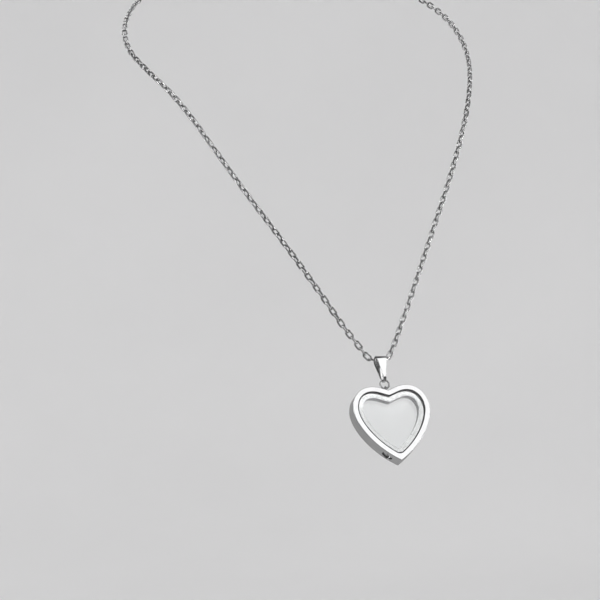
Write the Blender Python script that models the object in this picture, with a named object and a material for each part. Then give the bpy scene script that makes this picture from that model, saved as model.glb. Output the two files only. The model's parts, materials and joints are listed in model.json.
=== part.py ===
"""Heart-shaped window locket on an oval cable chain, in metres, +Z up, front towards -Y.

The origin is the middle of the nape, where a neck or a display stand holds the chain up. The chain
is the fixed body. The bail swings on it, the jump ring hangs in the bail and the heart in the ring.
"""

import math

import bmesh
import bpy
from mathutils import Matrix, Vector

MM = 0.001

# Driving dimensions of the heart. Its plane is local XZ, its thickness runs along local Y.
HEART_WIDTH = 25.0 * MM
HEART_HEIGHT = 24.8 * MM
HEART_DEPTH = 4.8 * MM
NOTCH_DROP = 1.5 * MM
RIM_WIDTH = 1.60 * MM
LEDGE_WIDTH = 1.90 * MM
RIM_CHAMFER = 0.15 * MM
HALF_SEGMENTS = 30
FINE_SEGMENTS = 160

# Window panes and the clear adhesive bead that each one lies on.
SEAT_DEPTH = 1.15 * MM
PANE_THICKNESS = 0.95 * MM
PANE_CHAMFER = 0.12 * MM
SEAL_THICKNESS = 0.10 * MM
FIT_GAP = 0.04 * MM
SEAT_CORNER = 2.0 * MM
WINDOW_CORNER = 1.2 * MM

# Filling port in the lower left wall, measured along the outline from the tip.
PORT_FROM_TIP = 4.5 * MM
PORT_RADIUS = 1.75 * MM
PORT_RECESS = 0.45 * MM
BORE_RADIUS = 1.00 * MM
SCREW_HEAD_RADIUS = 1.50 * MM
SCREW_HEAD = 0.50 * MM
SCREW_SHANK = 2.10 * MM
THREAD_PITCH = 0.40 * MM
THREAD_MAJOR = 0.96 * MM
THREAD_MINOR = 0.76 * MM
WASHER_THICKNESS = 0.22 * MM
SLOT_WIDTH = 0.50 * MM
SLOT_DEPTH = 0.25 * MM

# Bail: a strip bent into a closed loop, wide over the chain and narrow at the jump ring.
BAIL_STRIP = 0.35 * MM
BAIL_TOP_WIDTH = 3.00 * MM
BAIL_FOOT_WIDTH = 0.85 * MM
BAIL_TOP_DEPTH = 4.50 * MM
BAIL_FOOT_DEPTH = 3.20 * MM
BAIL_HEIGHT = 8.70 * MM
BAIL_OVER_CHAIN = 1.30 * MM
BAIL_TOP_BEND = 1.45 * MM
BAIL_FOOT_BEND = 1.25 * MM

# Rings and the eye that is welded to the notch.
RING_WIRE = 0.55 * MM
RING_OUTER = 3.40 * MM
EYE_WIRE = 0.50 * MM
EYE_OUTER = 2.10 * MM
RING_SLIT = 0.05 * MM

# Cable chain.
LINK_LENGTH = 3.50 * MM
LINK_WIDTH = 2.15 * MM
LINK_WIRE = 0.60 * MM
LINK_PITCH = 2.25 * MM
LINKS_BY_BAIL = 12
LEAD_IN_LINKS = 10
RIGHT_TWIST = math.radians(-5.0)
LEFT_TWIST = math.radians(-25.0)
SPAN_STEPS = 24
TUBE_POINT_SPACING = 5.0 * MM
TUBE_GAP = 0.30 * MM
CLEARANCE = 0.03 * MM

# Where the chain lies. The bail's place is measured from the nape, and each side's route from the
# bail. The two sides part a little only round the shoulders.
BAIL_PLACE = Vector((0.0, -107.5, -137.5)) * MM
CHEST_ROUTE = (
    (0.0, 0.0, 0.0),
    (3.2, 1.2, 1.1),
    (6.4, 2.9, 6.0),
    (9.6, 5.2, 11.3),
    (15.0, 8.4, 21.3),
    (20.5, 12.0, 31.3),
    (26.1, 16.0, 41.3),
    (31.8, 20.3, 51.3),
    (37.3, 24.7, 61.3),
)
RIGHT_SHOULDER = (
    (42.6, 29.8, 71.3),
    (47.5, 35.6, 81.3),
    (51.4, 42.2, 89.8),
    (54.4, 49.8, 97.6),
    (55.8, 58.8, 105.9),
    (54.8, 68.5, 114.0),
    (51.0, 78.5, 121.3),
    (44.6, 88.3, 127.9),
    (35.6, 97.0, 132.9),
    (24.8, 103.6, 136.1),
    (13.0, 107.1, 137.4),
    (7.0, 107.5, 137.5),
)
LEFT_SHOULDER = (
    (-42.4, 29.8, 71.3),
    (-47.3, 35.6, 81.3),
    (-52.0, 42.2, 90.0),
    (-57.2, 49.6, 97.8),
    (-60.4, 58.4, 105.0),
    (-59.6, 68.4, 112.2),
    (-55.6, 78.6, 119.4),
    (-48.8, 88.2, 125.8),
    (-39.2, 97.0, 131.2),
    (-27.4, 103.6, 135.2),
    (-13.6, 107.1, 137.3),
    (-7.0, 107.5, 137.5),
)

# The locket lies back against the chest: its top is behind its tip.
LEAN = math.radians(23.0)

# Lobster clasp, in its own plane (local XZ), hook towards +X.
CLASP_THICKNESS = 2.0 * MM
CLASP_BEVEL = 0.35 * MM
HOOK_CENTRE = 2.75 * MM
HOOK_OUTER = 2.65 * MM
HOOK_INNER = 1.55 * MM
TAIL_CENTRE = -4.10 * MM
TAIL_OUTER = 1.40 * MM
TAIL_HOLE = 0.75 * MM
CLAW_START = -0.60 * MM
PIVOT_X = -1.90 * MM
PIVOT_Z = 0.90 * MM
RIVET_RADIUS = 0.33 * MM
LEVER_THICKNESS = 0.80 * MM
SPRING_WIRE = 0.10 * MM
END_RING_OUTER = 5.0 * MM
END_RING_WIRE = 0.60 * MM
CLASP_RING_OUTER = 3.8 * MM
CLASP_RING_WIRE = 0.50 * MM

STEEL = ((0.78, 0.78, 0.79), 0.16, 1.0)
CHAIN_STEEL = ((0.70, 0.70, 0.72), 0.20, 1.0)
CRYSTAL = ((0.90, 0.92, 0.92), 0.03, 0.0)
ADHESIVE = ((0.86, 0.87, 0.85), 0.30, 0.0)
RUBBER = ((0.10, 0.10, 0.10), 0.60, 0.0)
SPRING_STEEL = ((0.55, 0.55, 0.57), 0.30, 1.0)


def clear_scene():
    for old in list(bpy.data.objects):
        bpy.data.objects.remove(old, do_unlink=True)


def material(name, look):
    made = bpy.data.materials.new(name)
    made.use_nodes = True
    shader = made.node_tree.nodes["Principled BSDF"]
    colour, roughness, metallic = look
    shader.inputs["Base Color"].default_value = (*colour, 1.0)
    shader.inputs["Roughness"].default_value = roughness
    shader.inputs["Metallic"].default_value = metallic
    return made


def empty(name, parent=None, location=(0, 0, 0), rotation=(0, 0, 0)):
    made = bpy.data.objects.new(name, None)
    bpy.context.scene.collection.objects.link(made)
    made.parent = parent
    made.location = location
    made.rotation_euler = rotation
    return made


def solid(name, mesh, look, parent=None, location=(0, 0, 0)):
    """A named object from a bmesh whose faces are turned outwards."""
    bmesh.ops.recalc_face_normals(mesh, faces=mesh.faces)
    data = bpy.data.meshes.new(name)
    mesh.to_mesh(data)
    mesh.free()
    data.shade_smooth()
    data.set_sharp_from_angle(angle=math.radians(35))
    data.materials.append(material(name, look))
    made = bpy.data.objects.new(name, data)
    bpy.context.scene.collection.objects.link(made)
    made.parent = parent
    made.location = location
    return made


def cutter(name, mesh, parent=None, location=(0, 0, 0)):
    made = solid(name, mesh, STEEL, parent, location)
    made.hide_render = True
    made.display_type = "WIRE"
    return made


def subtract(body, tool):
    cut = body.modifiers.new("cut " + tool.name, "BOOLEAN")
    cut.operation = "DIFFERENCE"
    cut.solver = "EXACT"
    cut.object = tool


def lofted(loops, closed):
    """Faces between loops of equal count. closed joins the last to the first, else both ends are capped."""
    mesh = bmesh.new()
    rows = [[mesh.verts.new(point) for point in loop] for loop in loops]
    pairs = list(zip(rows, rows[1:]))
    if closed:
        pairs.append((rows[-1], rows[0]))
    else:
        mesh.faces.new(rows[0])
        mesh.faces.new(rows[-1])
    for one, two in pairs:
        for i in range(len(one)):
            j = (i + 1) % len(one)
            mesh.faces.new((one[i], one[j], two[j], two[i]))
    return mesh


def swept_wire(path, radius, sides, normal, closed=True):
    """A round wire along a flat path. normal is the path plane's normal."""
    count = len(path)
    rows = []
    for i, point in enumerate(path):
        after = path[(i + 1) % count] if closed else path[min(i + 1, count - 1)]
        before = path[i - 1] if closed else path[max(i - 1, 0)]
        side = (after - before).cross(normal).normalized()
        turns = (math.tau * k / sides for k in range(sides))
        rows.append([point + radius * (math.cos(a) * side + math.sin(a) * normal) for a in turns])
    return lofted(rows, closed)


def circle(radius, count, axis="Y", start=0.0, sweep=math.tau):
    """Points of an arc about an axis, the last one left out on a whole turn."""
    last = count if math.isclose(sweep, math.tau) else count - 1
    turns = [start + sweep * k / last for k in range(count)]
    if axis == "X":
        return [Vector((0, radius * math.sin(a), radius * math.cos(a))) for a in turns]
    if axis == "Y":
        return [Vector((radius * math.sin(a), 0, radius * math.cos(a))) for a in turns]
    return [Vector((radius * math.cos(a), radius * math.sin(a), 0)) for a in turns]


def rounded_polygon(corners, arc_points=4):
    """Flat outline points from (x, z, radius) corners, each turned by an arc."""
    outline = []
    for i, (x, z, radius) in enumerate(corners):
        corner = Vector((x, z))
        to_last = (Vector(corners[i - 1][:2]) - corner).normalized()
        to_next = (Vector(corners[(i + 1) % len(corners)][:2]) - corner).normalized()
        half = to_last.angle(to_next) / 2
        centre = corner + (to_last + to_next).normalized() * radius / math.sin(half)
        first = corner + to_last * radius / math.tan(half) - centre
        last = corner + to_next * radius / math.tan(half) - centre
        swing = first.angle_signed(last)
        for k in range(arc_points + 1):
            turned = first.copy()
            turned.rotate(Matrix.Rotation(-swing * k / arc_points, 2))
            outline.append(centre + turned)
    return outline


def extruded(outline, thickness):
    """A plate in the XZ plane, its thickness along Y, centred on it."""
    loops = [
        [Vector((p.x, side * thickness / 2, p.y)) for p in outline] for side in (-1, 1)
    ]
    return lofted(loops, False)


def resampled(points, count):
    """count + 1 points at equal steps along a run of points, its two ends kept."""
    steps = [0.0]
    for one, two in zip(points, points[1:]):
        steps.append(steps[-1] + (two - one).length)
    picked, k = [], 0
    for i in range(count + 1):
        at = steps[-1] * i / count
        while k < len(steps) - 2 and steps[k + 1] < at:
            k += 1
        share = (at - steps[k]) / max(steps[k + 1] - steps[k], 1e-12)
        picked.append(points[k].lerp(points[k + 1], min(max(share, 0.0), 1.0)))
    return picked


# ---------------------------------------------------------------- heart outline


def bezier(start, handle_a, handle_b, end, count):
    return [
        (1 - t) ** 3 * start + 3 * (1 - t) ** 2 * t * handle_a
        + 3 * (1 - t) * t * t * handle_b + t ** 3 * end
        for t in (k / count for k in range(count + 1))
    ]


def heart_half():
    """The right half of the outer outline, from the notch over the lobe to the tip, lobe top at 0."""
    w, h = HEART_WIDTH / 2, HEART_HEIGHT
    notch, lobe = Vector((0, -NOTCH_DROP)), Vector((0.445 * w, 0))
    flank, tip = Vector((w, -0.305 * h)), Vector((0, -h))
    runs = (
        (notch, notch + Vector((0.15 * w, 0.026 * h)), lobe - Vector((0.17 * w, 0)), lobe),
        (lobe, lobe + Vector((0.33 * w, 0)), flank + Vector((0, 0.170 * h)), flank),
        (flank, flank - Vector((0, 0.195 * h)), tip + Vector((0.62 * w, 0.19 * h)), tip),
    )
    points = [notch]
    for run in runs:
        points += bezier(*run, FINE_SEGMENTS // len(runs))[1:]
    return points


def inset_half(half, distance, corner):
    """The half outline moved inwards, both ends on the centre line, its tip rounded by corner."""
    reach = distance + corner
    moved, inward = [], []
    for i, point in enumerate(half):
        along = (half[min(i + 1, len(half) - 1)] - half[max(i - 1, 0)]).normalized()
        inward.append(Vector((along.y, -along.x)))
        moved.append(point + inward[i] * reach)
    while moved[-2].x < 0 or moved[-1].x < 0 and moved[-2].x <= 0:
        moved.pop()
        inward.pop()
    share = moved[-2].x / (moved[-2].x - moved[-1].x)
    moved[-1] = moved[-2].lerp(moved[-1], share)
    points = [p - n * corner for p, n in zip(moved, inward)]
    turn = math.atan2(inward[-1].x, inward[-1].y)
    for k in range(1, 9):
        a = turn * (1 - k / 8)
        points.append(moved[-1] - corner * Vector((math.sin(a), math.cos(a))))
    first, second = points[0], points[1]
    slope = (second.y - first.y) / (second.x - first.x)
    return [Vector((0, first.y - slope * first.x))] + points


def heart_loop(distance=0.0, corner=0.0, y=0.0, segments=HALF_SEGMENTS):
    """The whole closed outline at an inset, as points in the heart's own frame with the notch above 0."""
    half = heart_half()
    if distance > 0:
        half = inset_half(half, distance, corner)
    half = resampled(half, segments)
    whole = half + [Vector((-p.x, p.y)) for p in reversed(half[1:-1])]
    return [Vector((p.x, y, p.y + HEART_TOP)) for p in whole]


# Heights in the bail's upright frame, whose origin is the chain's middle.
BAIL_FOOT_INSIDE = BAIL_OVER_CHAIN + BAIL_STRIP - BAIL_HEIGHT + BAIL_STRIP
RING_RADIUS = (RING_OUTER - RING_WIRE) / 2
RING_CENTRE = BAIL_FOOT_INSIDE + CLEARANCE + RING_WIRE / 2 - RING_RADIUS
EYE_RADIUS = (EYE_OUTER - EYE_WIRE) / 2
RING_LOW = RING_CENTRE - RING_RADIUS
EYE_CENTRE = (RING_WIRE + EYE_WIRE) / 2 + CLEARANCE - EYE_RADIUS
HEART_TOP = EYE_CENTRE - EYE_OUTER / 2 - 0.14 * MM + NOTCH_DROP


def port_frame():
    """The middle of the filling port on the outer wall and the outward direction there."""
    half = heart_half()
    left = 0.0
    for one, two in zip(reversed(half[:-1]), reversed(half[1:])):
        step = (one - two).length
        if left + step >= PORT_FROM_TIP:
            break
        left += step
    point = two.lerp(one, (PORT_FROM_TIP - left) / step)
    along = (two - one).normalized()
    outward = Vector((-along.y, along.x))
    place = Vector((-point.x, 0, point.y + HEART_TOP))
    return place, Vector((-outward.x, 0, outward.y)).normalized()


# ---------------------------------------------------------------- locket pieces


def make_heart_frame(parent, port):
    front = -HEART_DEPTH / 2
    seat = (RIM_WIDTH, SEAT_CORNER)
    window = (RIM_WIDTH + LEDGE_WIDTH, WINDOW_CORNER)
    steps = [
        ((0, 0), front + RIM_CHAMFER),
        ((RIM_CHAMFER, 0), front),
        (seat, front),
        (seat, front + SEAT_DEPTH),
        (window, front + SEAT_DEPTH),
    ]
    steps += [(inset, -y) for inset, y in reversed(steps)]
    loops = [heart_loop(distance, corner, y) for (distance, corner), y in steps]
    frame = solid("heart_frame", lofted(loops, True), STEEL, parent)
    hole = port_cutter(port)
    subtract(frame, hole)
    return frame


def turned(profile, sides=20):
    """A solid turned about local Z from (radius, z) points, capped at both ends."""
    loops = [
        [Vector((p.x, p.y, z)) for p in circle(radius, sides, "Z")] for radius, z in profile
    ]
    return lofted(loops, False)


def port_cutter(port):
    floor = -(PORT_RECESS + SCREW_HEAD + WASHER_THICKNESS + 2 * CLEARANCE)
    past = RIM_WIDTH + LEDGE_WIDTH + 1.0 * MM
    profile = [(BORE_RADIUS, -past), (BORE_RADIUS, floor), (PORT_RADIUS, floor), (PORT_RADIUS, 1.0 * MM)]
    return cutter("port_cutter", turned(profile), port)


def make_pane(name, parent, side):
    """A window pane with its outer face just below the rim. side is -1 at the front, 1 at the back."""
    outer = side * (HEART_DEPTH / 2 - CLEARANCE)
    inner = outer - side * PANE_THICKNESS
    edge = RIM_WIDTH + FIT_GAP
    loops = [
        heart_loop(edge + PANE_CHAMFER, SEAT_CORNER, outer),
        heart_loop(edge, SEAT_CORNER, outer - side * PANE_CHAMFER),
        heart_loop(edge, SEAT_CORNER, inner),
    ]
    return solid(name, lofted(loops, False), CRYSTAL, parent)


def make_seal(name, parent, side):
    """The bead that holds a pane on its ledge."""
    floor = side * (HEART_DEPTH / 2 - SEAT_DEPTH + CLEARANCE)
    top = floor + side * SEAL_THICKNESS
    outside = (RIM_WIDTH + 3 * FIT_GAP, SEAT_CORNER)
    inside = (RIM_WIDTH + LEDGE_WIDTH - 6 * FIT_GAP, WINDOW_CORNER)
    steps = [(outside, floor), (outside, top), (inside, top), (inside, floor)]
    loops = [heart_loop(distance, corner, y) for (distance, corner), y in steps]
    return solid(name, lofted(loops, True), ADHESIVE, parent)


def make_port_screw(parent):
    """A slotted cheese-head screw with a cut thread, its head's top at local z = -PORT_RECESS."""
    top = -PORT_RECESS
    under = top - SCREW_HEAD
    sides, rows_per_turn = 12, 4
    turns = SCREW_SHANK / THREAD_PITCH
    rows = round(turns * rows_per_turn)
    edge = 0.08 * MM
    loops = [
        [Vector((p.x, p.y, z)) for p in circle(radius, sides, "Z")]
        for radius, z in (
            (SCREW_HEAD_RADIUS - edge, top),
            (SCREW_HEAD_RADIUS, top - edge),
            (SCREW_HEAD_RADIUS, under),
        )
    ]
    for row in range(rows + 1):
        z = under - SCREW_SHANK * row / rows
        loop = []
        for k in range(sides):
            phase = (row / rows_per_turn + k / sides) % 1.0
            depth = abs(2 * phase - 1) if 0 < row < rows else 1.0
            radius = THREAD_MAJOR - (THREAD_MAJOR - THREAD_MINOR) * depth
            a = math.tau * k / sides
            loop.append(Vector((radius * math.cos(a), radius * math.sin(a), z)))
        loops.append(loop)
    screw = solid("port_screw", lofted(loops, False), STEEL, parent)
    width, deep, long = SLOT_WIDTH / 2, SLOT_DEPTH, 2 * SCREW_HEAD_RADIUS
    slot = bmesh.new()
    bmesh.ops.create_cube(slot, size=2)
    bmesh.ops.scale(slot, vec=(long, width, deep), verts=slot.verts)
    subtract(screw, cutter("slot_cutter", slot, parent, (0, 0, top)))
    return screw


def make_port_washer(parent):
    bottom = -(PORT_RECESS + SCREW_HEAD + CLEARANCE + WASHER_THICKNESS)
    inner, outer = THREAD_MAJOR + 0.06 * MM, SCREW_HEAD_RADIUS
    profile = [(inner, 0), (outer, 0), (outer, WASHER_THICKNESS), (inner, WASHER_THICKNESS)]
    loops = [
        [Vector((p.x, p.y, bottom + z)) for p in circle(radius, 20, "Z")] for radius, z in profile
    ]
    return solid("port_washer", lofted(loops, True), RUBBER, parent)


def make_eye(parent):
    path = [p + Vector((0, 0, EYE_CENTRE)) for p in circle(EYE_RADIUS, 20, "X")]
    return solid("frame_eye", swept_wire(path, EYE_WIRE / 2, 8, Vector((1, 0, 0))), STEEL, parent)


def split_ring(name, outer, wire, axis, parent, location, opening, count=24, sides=8):
    """A jump ring with a hairline slit. opening is the angle of the slit."""
    radius = (outer - wire) / 2
    slit = RING_SLIT / radius
    path = circle(radius, count, axis, opening + slit / 2, math.tau - slit)
    normal = {"X": Vector((1, 0, 0)), "Y": Vector((0, 1, 0)), "Z": Vector((0, 0, 1))}[axis]
    return solid(name, swept_wire(path, wire / 2, sides, normal, False), STEEL, parent, location)


def make_bail(parent):
    """A strip bent round a tapered loop. Its width narrows from the top bend to the foot."""
    top = BAIL_OVER_CHAIN + BAIL_STRIP / 2
    foot = BAIL_OVER_CHAIN + 1.5 * BAIL_STRIP - BAIL_HEIGHT
    wide, narrow = (BAIL_TOP_DEPTH - BAIL_STRIP) / 2, (BAIL_FOOT_DEPTH - BAIL_STRIP) / 2
    corners = [
        (-wide, top, BAIL_TOP_BEND),
        (wide, top, BAIL_TOP_BEND),
        (narrow, foot, BAIL_FOOT_BEND),
        (-narrow, foot, BAIL_FOOT_BEND),
    ]
    path = rounded_polygon(corners, 6)
    taper_start, taper_end = top - BAIL_TOP_BEND, foot + BAIL_FOOT_BEND
    stations = []
    for i, point in enumerate(path):
        along = (path[(i + 1) % len(path)] - path[i - 1]).normalized()
        across = Vector((along.y, -along.x)) * BAIL_STRIP / 2
        share = min(max((taper_start - point.y) / (taper_start - taper_end), 0), 1)
        half = (BAIL_TOP_WIDTH + (BAIL_FOOT_WIDTH - BAIL_TOP_WIDTH) * share) / 2
        stations.append([
            Vector((x * half, (point + across * s).x, (point + across * s).y))
            for x, s in ((-1, -1), (1, -1), (1, 1), (-1, 1))
        ])
    return solid("bail", lofted(stations, True), STEEL, parent)


# ---------------------------------------------------------------- chain


def smooth_route(side, shoulder):
    """Fine points on one smooth curve from the bail to the nape. side is -1 on the left, 1 on the right."""
    route = [Vector((side * x, y, z)) for x, y, z in CHEST_ROUTE] + [Vector(p) for p in shoulder]
    knots = [0.0]
    for one, two in zip(route, route[1:]):
        knots.append(knots[-1] + (two - one).length)
    slopes = []
    for i in range(len(route)):
        a, b = max(i - 1, 0), min(i + 1, len(route) - 1)
        slopes.append((route[b] - route[a]) / (knots[b] - knots[a]))
    slopes[0] = Vector((side, 0, 0))
    slopes[-1] = Vector((-side, 0, 0))
    points = []
    for i in range(len(route) - 1):
        span = knots[i + 1] - knots[i]
        for k in range(SPAN_STEPS):
            t = k / SPAN_STEPS
            points.append(
                (2 * t ** 3 - 3 * t * t + 1) * route[i] + (t ** 3 - 2 * t * t + t) * span * slopes[i]
                + (3 * t * t - 2 * t ** 3) * route[i + 1] + (t ** 3 - t * t) * span * slopes[i + 1]
            )
    return [p * MM + BAIL_PLACE for p in points + route[-1:]]


class Strand:
    """One side of the chain: places along it from the bail to the nape, and each link's frame."""

    def __init__(self, side, shoulder, end_x, twist):
        self.twist = twist
        self.points = smooth_route(side, shoulder)
        while abs(self.points[-2].x) < abs(end_x):
            self.points.pop()
        if abs(self.points[-1].x) > abs(end_x):
            self.points.append(Vector((end_x, self.points[-1].y, self.points[-1].z)))
        one, two = self.points[-2], self.points[-1]
        self.points[-1] = one.lerp(two, (end_x - one.x) / (two.x - one.x))
        self.steps = [0.0]
        for one, two in zip(self.points, self.points[1:]):
            self.steps.append(self.steps[-1] + (two - one).length)
        self.length = self.steps[-1]
        self.count = round(self.length / LINK_PITCH)
        self.pitch = self.length / self.count

    def at(self, s):
        """The place at arc length s. Before the bail the curve goes on as its own mirror image."""
        if s < 0:
            mirrored = self.at(-s)
            return Vector((-mirrored.x, mirrored.y, mirrored.z))
        k = 0
        while k < len(self.steps) - 2 and self.steps[k + 1] < s:
            k += 1
        share = (s - self.steps[k]) / (self.steps[k + 1] - self.steps[k])
        return self.points[k].lerp(self.points[k + 1], share)

    def frames(self):
        """For link 0, 1, ... its middle, its long direction and a side direction that doesn't twist."""
        side = Vector((0, -1, 0))
        placed = []
        for i in range(self.count + 1):
            half = self.pitch / 2
            start, end = self.at(i * self.pitch - half), self.at(i * self.pitch + half)
            along = (end - start).normalized()
            side = (side - along * side.dot(along)).normalized()
            placed.append(((start + end) / 2, along, side))
        return placed

    def links(self):
        """Matrices of every link. Each one is turned a quarter from the last. The chain also takes up its
        twist over the links next to the bail, and then turns evenly until the last link stands upright."""
        placed = self.frames()
        middle, along, side = placed[-1]
        upright = Vector((0, 1, 0))
        last = math.atan2(along.dot(side.cross(upright)), side.dot(upright)) - self.count * math.pi / 2
        spare = (last + math.pi / 2) % math.pi - math.pi / 2
        matrices = []
        for i, (middle, along, side) in enumerate(placed):
            lead = min(i / LEAD_IN_LINKS, 1.0)
            rest = max(i - LEAD_IN_LINKS, 0) / (self.count - LEAD_IN_LINKS)
            angle = i * math.pi / 2 + self.twist * lead + (spare - self.twist) * rest
            normal = side.copy()
            normal.rotate(Matrix.Rotation(angle, 3, along))
            across = normal.cross(along)
            turn = Matrix((along, across, normal)).transposed().to_4x4()
            matrices.append(Matrix.Translation(middle) @ turn)
        return matrices


def link_path():
    """A link's centre line: two half circles joined by straight sides."""
    end = (LINK_WIDTH - LINK_WIRE) / 2
    straight = (LINK_LENGTH - LINK_WIDTH) / 2
    path = []
    for side in (1, -1):
        for k in range(5):
            a = side * math.pi / 2 - math.pi / 4 * k
            path.append(Vector((side * straight + end * math.cos(a), end * math.sin(a), 0)))
    return path


def make_link(name, matrix):
    mesh = swept_wire(link_path(), LINK_WIRE / 2, 6, Vector((0, 0, 1)))
    made = solid(name, mesh, CHAIN_STEEL)
    made.matrix_world = matrix
    return made


def make_tube(name, strand, start, end):
    count = round((end - start) / TUBE_POINT_SPACING)
    curve = bpy.data.curves.new(name, "CURVE")
    curve.dimensions = "3D"
    spline = curve.splines.new("POLY")
    spline.points.add(count)
    for k in range(count + 1):
        point = strand.at(start + (end - start) * k / count)
        spline.points[k].co = (*point, 1.0)
    curve.bevel_depth = LINK_WIDTH / 2
    curve.bevel_resolution = 2
    curve.use_fill_caps = True
    curve.materials.append(material(name, CHAIN_STEEL))
    made = bpy.data.objects.new(name, curve)
    bpy.context.scene.collection.objects.link(made)
    return made


def make_chain():
    left = Strand(-1, LEFT_SHOULDER, LEFT_END, LEFT_TWIST)
    right = Strand(1, RIGHT_SHOULDER, RIGHT_END, RIGHT_TWIST)
    for side, strand in (("left", left), ("right", right)):
        matrices = strand.links()
        if side == "right":
            make_link("link_centre", matrices[0])
        for i in range(1, LINKS_BY_BAIL + 1):
            make_link(f"link_{side}_{i:02d}", matrices[i])
        make_link(f"link_{side}_end", matrices[strand.count])
        reach = LINK_LENGTH / 2 + TUBE_GAP
        tube_start = LINKS_BY_BAIL * strand.pitch + reach
        make_tube(f"chain_{side}", strand, tube_start, strand.length - reach)


# ---------------------------------------------------------------- clasp

CLASP_RING_RADIUS = (CLASP_RING_OUTER - CLASP_RING_WIRE) / 2
CLASP_RING_PLACE = TAIL_CENTRE - CLASP_RING_RADIUS
END_RING_RADIUS = (END_RING_OUTER - END_RING_WIRE) / 2
END_RING_PLACE = HOOK_CENTRE + HOOK_INNER - 0.60 * MM + END_RING_RADIUS
LINK_REACH = (LINK_LENGTH - LINK_WIRE) / 2
LEFT_END = CLASP_RING_PLACE - CLASP_RING_RADIUS + (CLASP_RING_WIRE + LINK_WIRE) / 2 + CLEARANCE - LINK_REACH
RIGHT_END = END_RING_PLACE + END_RING_RADIUS - (END_RING_WIRE + LINK_WIRE) / 2 - CLEARANCE + LINK_REACH


def teardrop(big_centre, big, small_centre, small, count=12):
    """The outline of two circles on the X axis and their common tangents."""
    lean = math.asin((big - small) / (big_centre - small_centre))
    outline = []
    for centre, radius, start, sweep in (
        (big_centre, big, math.pi / 2 - lean + lean * 2, math.pi + 2 * lean),
        (small_centre, small, -math.pi / 2 - lean, math.pi - 2 * lean),
    ):
        for k in range(count + 1):
            a = start - sweep * k / count
            outline.append(Vector((centre + radius * math.cos(a), radius * math.sin(a))))
    return outline


def cylinder(radius, length, sides=16):
    """A solid cylinder along local Y, centred."""
    loops = [
        [p + Vector((0, side * length / 2, 0)) for p in circle(radius, sides, "Y")] for side in (-1, 1)
    ]
    return lofted(loops, False)


def make_clasp_body(parent):
    mesh = extruded(teardrop(HOOK_CENTRE, HOOK_OUTER, TAIL_CENTRE, TAIL_OUTER), CLASP_THICKNESS)
    body = solid("clasp_body", mesh, STEEL, parent)
    edge = body.modifiers.new("rounded edges", "BEVEL")
    edge.width = CLASP_BEVEL
    edge.segments = 2
    edge.limit_method = "ANGLE"
    edge.angle_limit = math.radians(60)
    through = 2 * CLASP_THICKNESS
    claw = teardrop(HOOK_CENTRE, HOOK_INNER, CLAW_START + 0.9 * MM, 0.9 * MM)
    subtract(body, cutter("claw_cutter", extruded(claw, through), parent))
    gate = [Vector(p) * MM for p in ((-0.35, 0.55), (-0.35, 4.0), (3.05, 4.0), (2.35, 0.9))]
    subtract(body, cutter("gate_cutter", extruded(gate, through), parent))
    slot = [Vector(p) * MM for p in ((-3.0, -0.35), (-3.0, 4.0), (0.4, 4.0), (0.4, -0.35))]
    slot_width = LEVER_THICKNESS + 0.12 * MM
    subtract(body, cutter("lever_slot_cutter", extruded(slot, slot_width), parent))
    tail = cutter("tail_cutter", cylinder(TAIL_HOLE, through), parent, (TAIL_CENTRE, 0, 0))
    subtract(body, tail)
    rivet = cutter(
        "rivet_cutter", cylinder(RIVET_RADIUS + CLEARANCE, through), parent, (PIVOT_X, 0, PIVOT_Z)
    )
    subtract(body, rivet)
    return body


def make_clasp_lever(parent):
    """The sprung gate. Its origin is on the rivet, its tip reaches the hook's point."""
    corners = [
        (-0.62, -0.62, 0.45), (1.3, -0.42, 0.3), (3.9, 0.10, 0.12), (4.45, 1.02, 0.25),
        (2.4, 1.36, 0.6), (0.95, 1.30, 0.4), (0.55, 2.35, 0.28), (-0.35, 2.35, 0.28), (-0.62, 0.9, 0.3),
    ]
    outline = rounded_polygon([(x * MM, z * MM, r * MM) for x, z, r in corners], 3)
    lever = solid("clasp_lever", extruded(outline, LEVER_THICKNESS), STEEL, parent)
    hole = cylinder(RIVET_RADIUS + CLEARANCE, 2 * CLASP_THICKNESS)
    subtract(lever, cutter("lever_hole_cutter", hole, parent))
    return lever


def make_clasp_rivet(parent):
    mesh = cylinder(RIVET_RADIUS, CLASP_THICKNESS - 2 * CLEARANCE)
    return solid("clasp_rivet", mesh, STEEL, parent, (PIVOT_X, 0, PIVOT_Z))


def make_clasp_spring(parent):
    """A bent leaf wire under the lever's root, resting in the floor of the slot."""
    path = [
        Vector((x, 0, z)) * MM
        for x, z in ((-2.80, 1.30), (-2.80, 0.55), (-2.70, 0.15), (-2.40, -0.10), (-1.9, -0.17), (-1.1, -0.17))
    ]
    mesh = swept_wire(path, SPRING_WIRE, 6, Vector((0, 1, 0)), False)
    return solid("clasp_spring", mesh, SPRING_STEEL, parent)


def make_clasp():
    body = empty("clasp_place")
    pivot = empty("lever_pivot", body, (PIVOT_X, 0, PIVOT_Z))
    make_clasp_body(body)
    make_clasp_rivet(body)
    make_clasp_spring(body)
    make_clasp_lever(pivot)
    tail_slit, end_slit = math.pi * 0.75, math.pi * 0.3
    split_ring("clasp_ring", CLASP_RING_OUTER, CLASP_RING_WIRE, "Z", body,
               (CLASP_RING_PLACE, 0, 0), tail_slit)
    split_ring("end_ring", END_RING_OUTER, END_RING_WIRE, "Z", body,
               (END_RING_PLACE, 0, 0), end_slit)


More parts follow.
